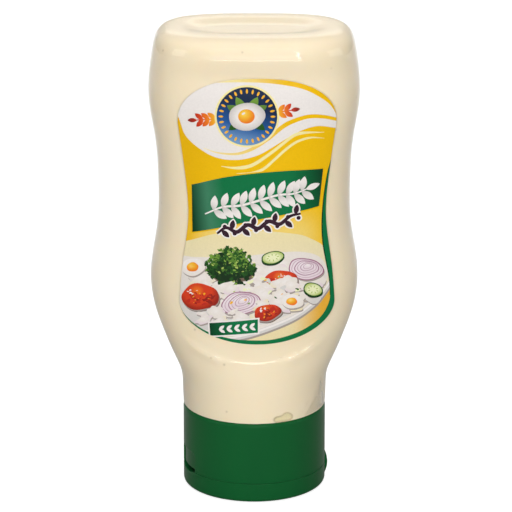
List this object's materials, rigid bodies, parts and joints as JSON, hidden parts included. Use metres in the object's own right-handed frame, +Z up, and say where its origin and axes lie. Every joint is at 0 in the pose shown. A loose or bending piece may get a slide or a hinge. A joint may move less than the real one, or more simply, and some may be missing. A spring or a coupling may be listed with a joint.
{
  "type": "salad cream squeeze bottle",
  "caption": "Oval waisted squeeze bottle of clear plastic, full of salad cream, standing on its round green flip-top cap, with a die-cut label front and back.",
  "frame": {"origin": "centre of the lid's flat face that the bottle stands on", "axes": "+Z up, -Y the front with the main label, +X the front's right-hand side; the oval bottle is wide along X and shallow along Y"},
  "size_m": [0.0803, 0.055, 0.1821],
  "materials": {
    "cap_green": "moulded, satin gloss",
    "clear_wall": "clear, glossy, blow moulded",
    "cream": "smooth thick cream",
    "label": "printed film, satin gloss"
  },
  "bodies": {
    "root": {"cap_lid": "cap_green", "cap_body": "cap_green", "hinge": "cap_green", "bottle_wall": "clear_wall", "salad_cream": "cream", "front_label": "label", "back_label": "label"}
  },
  "joints": []
}
